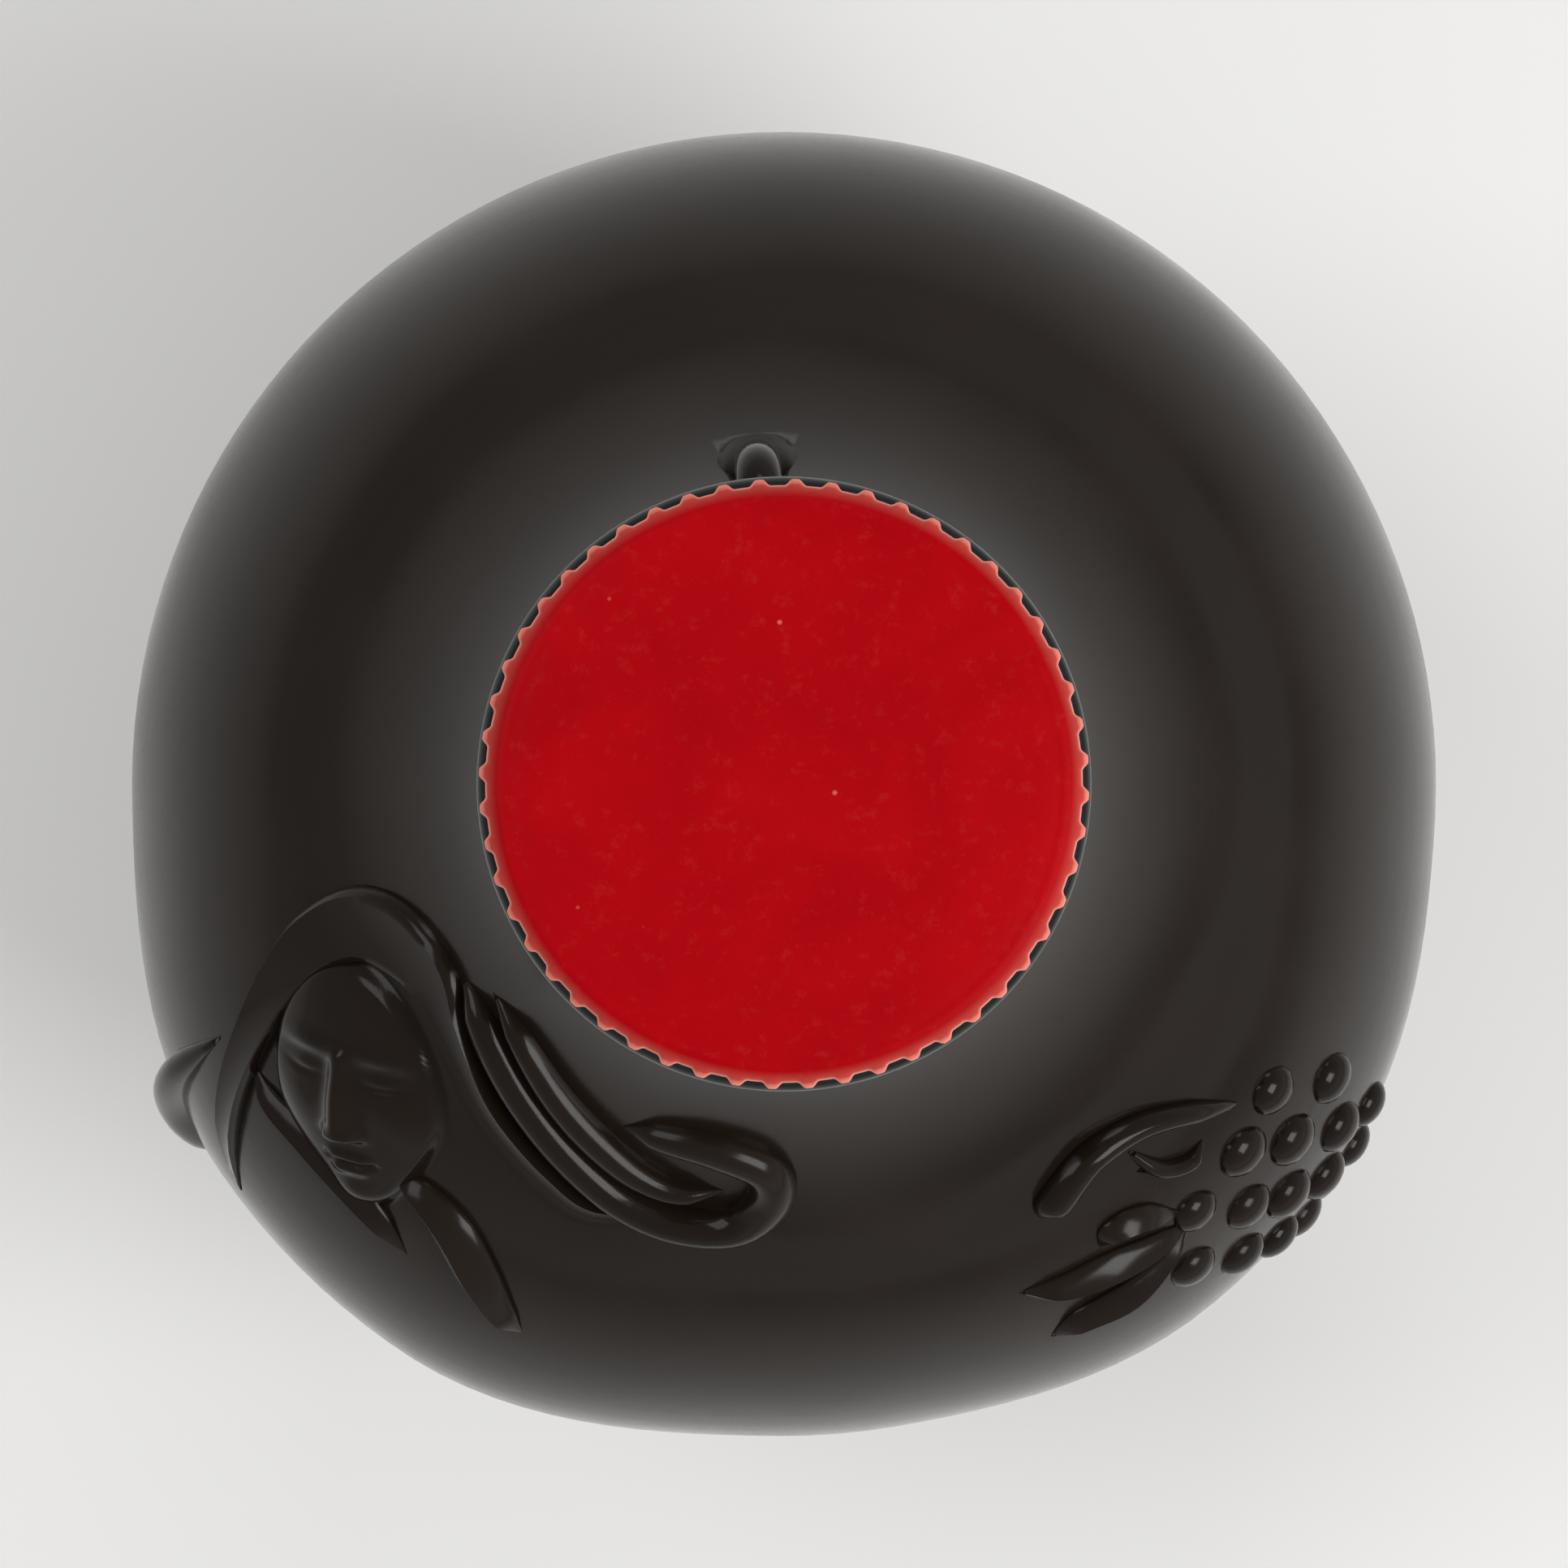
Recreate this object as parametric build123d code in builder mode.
from build123d import *

import os
from math import asin, cos, degrees, radians, sin, sqrt

# A round glass flagon with a ribbed screw cap. The origin is on the bottle's axis, at the plane that it stands on.
# +Z runs up the neck, +Y points to the loop handle and -Y to the decorated front. Millimetres and degrees.

# ---- the glass body, as arcs that run into each other ----
body_radius = 62.0
neck_radius = 17.8
neck_foot_height = 176.0
shoulder_arc = 56.0
arc_turn = 50.0
lower_arc = 160.0
wall = 3.2
flare_arc = (body_radius - neck_radius) / (1 - cos(radians(arc_turn))) - shoulder_arc
widest_height = neck_foot_height - (shoulder_arc + flare_arc) * sin(radians(arc_turn))
shoulder_centre = body_radius - shoulder_arc
flare_centre = neck_radius + flare_arc
flare_start_height = widest_height + shoulder_arc * sin(radians(arc_turn))
lower_centre = body_radius - lower_arc

# ---- the base: a flat standing ring round a shallow push-up ----
base_thickness = 5.0
base_corner = 7.0
push_up_radius = 31.0
push_up_depth = 6.0
floor_corner = 6.0
floor_dome = 4.0

# ---- the mouth, its bead and its screw thread (38 mm closure size) ----
mouth_height = 212.1
root_radius = 17.35
thread_outer_radius = 18.55
thread_pitch = 4.23
thread_turns = 1.5
thread_foot_width = 2.4
thread_tip_width = 1.0
thread_start_height = 202.4
thread_bite = 0.4
lip_radius = 1.2
bead_radius = 21.85
bead_low = 193.3
bead_high = 197.3
bead_round = 1.9

# ---- the cap ----
cap_top = 215.0
cap_low = 198.0
cap_core_radius = 20.05
cap_bore_radius = 18.85
cap_edge_round = 1.5
rib_count = 52
rib_radius = 0.44
rib_foot = cap_low + 0.8
rib_length = 14.4
top_dish_radius = 17.6
top_dish_depth = 0.2
cap_thread_inner_radius = 17.75
cap_thread_foot_width = 1.8
cap_thread_tip_width = 0.7
cap_thread_turns = 1.25
thread_side_gap = 0.3
liner_gap = 0.1
liner_seat_gap = 0.05
liner_thickness = 1.0
liner_radius = 18.5
liner_edge = 0.2

# ---- the loop handle behind the neck, as a bent rod ----
loop_rod_radius = 1.7
loop_root_height = 178.0
loop_reach = 24.0
loop_corner = 4.0
loop_foot_reach = 27.2
loop_foot_height = 140.0
loop_root_depth = 2.0

# ---- the two decorated panels: shallow swellings of the body, as (azimuth, rise) of round pads ----
pads = [(209.0, 3.0), (231.5, 3.0), (313.5, 2.0)]
pad_height = 85.0
pad_offset = 25.0

# ---- the raised ornament: bars that follow the body's skin ----
scroll_radius = 2.7
scroll_sink = 0.3
tip_sink = 1.9
stem_radius = 1.5
stem_sink = 0.3
leaf_radius = 4.2
leaf_sink = 2.9
berry_radius = 2.6
berry_lift = 0.2
berry_turn = 6.0
berry_drop = 5.0
bunch_azimuth = 315.0
bunch_top = 114.0


def skin(height):
    """The body's outer radius at a height, and the way its surface faces there, as (out, up)."""
    above = height - widest_height
    if above < 0:
        out = sqrt(lower_arc**2 - above**2)
        return lower_centre + out, (out / lower_arc, above / lower_arc)
    if height < flare_start_height:
        out = sqrt(shoulder_arc**2 - above**2)
        return shoulder_centre + out, (out / shoulder_arc, above / shoulder_arc)
    below = neck_foot_height - height
    out = sqrt(flare_arc**2 - below**2)
    return flare_centre - out, (out / flare_arc, below / flare_arc)


def pad_reach(azimuth, height, pad_azimuth, rise):
    """How far from the bottle's axis a pad's round surface stands at an azimuth and height, or 0 past its edge."""
    level = (body_radius + rise - pad_offset) ** 2 - (height - pad_height) ** 2
    aside = radians(azimuth - pad_azimuth)
    square = level - (pad_offset * sin(aside)) ** 2
    return pad_offset * cos(aside) + sqrt(square) if square > 0 else 0


def on_skin(azimuth, height, lift):
    """A point at an azimuth and height of the body, lifted off its surface."""
    radius, (out, up) = skin(height)
    reach = max(radius, *[pad_reach(azimuth, height, *pad) for pad in pads]) + lift * out
    turn = radians(azimuth)
    return (reach * cos(turn), reach * sin(turn), height + lift * up)


def bar(route, radius, sink, tips):
    """Adds a round bar that follows the skin and sinks deeper into it at its two tips."""
    last = len(route) - 1
    points = []
    for place, (azimuth, height) in enumerate(route):
        depth = tips if place in (0, last) else sink
        points.append(on_skin(azimuth, height, -depth))
    with BuildLine():
        path = Spline(*points)
    with BuildSketch(Plane(path @ 0, z_dir=path % 0)) as section:
        Circle(radius)
    sweep(section.sketch, path=path)


def screw_thread(foot, tip, foot_width, tip_width, start_height, turns, bite):
    """Adds a right-hand thread whose section narrows from foot radius to tip radius."""
    outward = 1 if tip > foot else -1
    with BuildLine():
        lead = Helix(thread_pitch, turns * thread_pitch, foot, center=(0, 0, start_height))
    with BuildSketch(Plane(lead @ 0, x_dir=(1, 0, 0), z_dir=lead % 0)) as section:
        Polygon(
            (-outward * bite, -foot_width / 2),
            (-outward * bite, foot_width / 2),
            (0, foot_width / 2),
            (tip - foot, tip_width / 2),
            (tip - foot, -tip_width / 2),
            (0, -foot_width / 2),
            align=None,
        )
    sweep(section.sketch, path=lead, is_frenet=True)


def body_section(inset, low, top, top_radius):
    """Draws one closed half section of the body, inset from the outer skin, from its low point to its top."""
    lower_turn = degrees(asin((widest_height - low) / (lower_arc - inset)))
    widest = (body_radius - inset, widest_height)
    lower = JernArc(widest, (0, -1), lower_arc - inset, -lower_turn)
    shoulder = JernArc(widest, (0, 1), shoulder_arc - inset, arc_turn)
    flare = JernArc(shoulder @ 1, shoulder % 1, flare_arc + inset, -arc_turn)
    Polyline(flare @ 1, (top_radius, neck_foot_height), (top_radius, top), (0, top), (0, low), lower @ 1)


# ---- bottle: body, neck, bead, thread, loop handle and ornament, moulded as one piece of glass ----
scrolls = [
    [(213, 72), (206, 96), (199, 113), (195, 123), (199, 130), (210, 131.5), (222, 128), (235, 124), (246, 125)],
    [(211, 134), (224, 132), (238, 128.5), (251, 127), (260, 128), (266, 131.5), (261, 135.5), (252, 135.5)],
    [(199, 80), (208, 104), (219, 114), (231, 118), (241, 116.5), (248, 111)],
    [(217, 62), (227, 88), (238, 103), (250, 108), (259, 104)],
]
stem = [(292, 116), (297, 120), (303, 121.5), (309, 120.5)]
leaves = [
    [(279, 102), (284, 110), (290, 114)],
    [(329, 106), (334, 100), (336, 92)],
]
# berries to a row, from the top row of the bunch down
berry_rows = [2, 3, 4, 3, 2, 1]

with BuildPart() as bottle:
    with BuildSketch(Plane.XZ):
        with BuildLine():
            body_section(0, 0, bead_high, neck_radius)
        make_face()
    revolve(axis=Axis.Z)
    fillet(bottle.edges().group_by(Axis.Z)[0], base_corner)
    with BuildSketch(Plane.XY.offset(bead_low)):
        Circle(root_radius)
    extrude(amount=mouth_height - bead_low)
    fillet(bottle.edges().group_by(Axis.Z)[-1], lip_radius)

    with BuildSketch(Plane.XZ) as bead_section:
        with Locations(((neck_radius + bead_radius) / 2 - 1, (bead_low + bead_high) / 2)):
            Rectangle(bead_radius - neck_radius + 2, bead_high - bead_low)
        fillet(bead_section.vertices().group_by(Axis.X)[-1], bead_round)
    revolve(axis=Axis.Z)

    for azimuth, rise in pads:
        centre = (pad_offset * cos(radians(azimuth)), pad_offset * sin(radians(azimuth)), pad_height)
        with Locations(centre):
            Sphere(body_radius + rise - pad_offset)

    for route in scrolls:
        bar(route, scroll_radius, scroll_sink, tip_sink)
    bar(stem, stem_radius, stem_sink, stem_radius)
    for route in leaves:
        bar(route, leaf_radius, leaf_sink, leaf_radius)
    for row, count in enumerate(berry_rows):
        for place in range(count):
            azimuth = bunch_azimuth + (place - (count - 1) / 2) * berry_turn
            with Locations(on_skin(azimuth, bunch_top - row * berry_drop, berry_lift)):
                Sphere(berry_radius)

    with BuildLine(Plane.YZ):
        loop = FilletPolyline(
            (neck_radius - loop_root_depth, loop_root_height),
            (loop_reach, loop_root_height),
            (loop_foot_reach, loop_foot_height),
            radius=loop_corner,
        )
    with BuildSketch(Plane(loop @ 0, z_dir=loop % 0)):
        Circle(loop_rod_radius)
    sweep(path=loop)

    screw_thread(
        root_radius,
        thread_outer_radius,
        thread_foot_width,
        thread_tip_width,
        thread_start_height,
        thread_turns,
        thread_bite,
    )

    with BuildSketch(Plane.XZ) as cavity_section:
        with BuildLine():
            body_section(wall, base_thickness + floor_dome, mouth_height + lip_radius, neck_radius - wall)
        make_face()
        floor_rim = cavity_section.vertices().group_by(Axis.Y)[0].sort_by(Axis.X)[-1]
        fillet(floor_rim, floor_corner)
    revolve(axis=Axis.Z, mode=Mode.SUBTRACT)

    with BuildSketch(Plane.XZ):
        with BuildLine():
            crown = SagittaArc((-push_up_radius, 0), (push_up_radius, 0), push_up_depth)
            Line(crown @ 1, crown @ 0)
        make_face()
        split(bisect_by=Plane.YZ)
    revolve(axis=Axis.Z, mode=Mode.SUBTRACT)

bottle.part.label = "bottle"

# ---- cap_shell: one moulding with a grip-ribbed skirt and a matching inner thread ----
liner_low = mouth_height + liner_seat_gap
cap_ceiling = liner_low + liner_thickness + liner_gap
thread_rise = (thread_foot_width + thread_tip_width + cap_thread_foot_width + cap_thread_tip_width) / 4
cap_thread_start = thread_start_height - thread_rise - thread_side_gap

with BuildPart() as cap_shell:
    with BuildSketch(Plane.XY.offset(cap_low)):
        Circle(cap_core_radius)
    extrude(amount=cap_top - cap_low)
    fillet(cap_shell.edges().group_by(Axis.Z)[-1], cap_edge_round)
    with BuildSketch(Plane.XY.offset(rib_foot)):
        with PolarLocations(cap_core_radius, rib_count):
            Circle(rib_radius)
    extrude(amount=rib_length)
    with BuildSketch(Plane.XY.offset(cap_top)):
        Circle(top_dish_radius)
    extrude(amount=-top_dish_depth, mode=Mode.SUBTRACT)
    with BuildSketch(Plane.XY.offset(cap_low)):
        Circle(cap_bore_radius)
    extrude(amount=cap_ceiling - cap_low, mode=Mode.SUBTRACT)
    screw_thread(
        cap_bore_radius,
        cap_thread_inner_radius,
        cap_thread_foot_width,
        cap_thread_tip_width,
        cap_thread_start,
        cap_thread_turns,
        thread_bite,
    )

cap_shell.part.label = "cap_shell"

# ---- cap_liner: the soft disc between the cap's ceiling and the mouth ----
with BuildPart() as cap_liner:
    with BuildSketch(Plane.XY.offset(liner_low)):
        Circle(liner_radius)
    extrude(amount=liner_thickness)
    fillet(cap_liner.edges(), liner_edge)

cap_liner.part.label = "cap_liner"

os.makedirs("parts", exist_ok=True)
export_step(bottle.part, "parts/bottle.step")
export_step(cap_shell.part, "parts/cap_shell.step")
export_step(cap_liner.part, "parts/cap_liner.step")

print("widest plane", round(widest_height, 2), "flare arc", round(flare_arc, 2))
for piece in (bottle, cap_shell, cap_liner):
    box = piece.part.bounding_box()
    print(piece.part.label, len(piece.part.solids()), round(piece.part.volume), box.min, box.max)
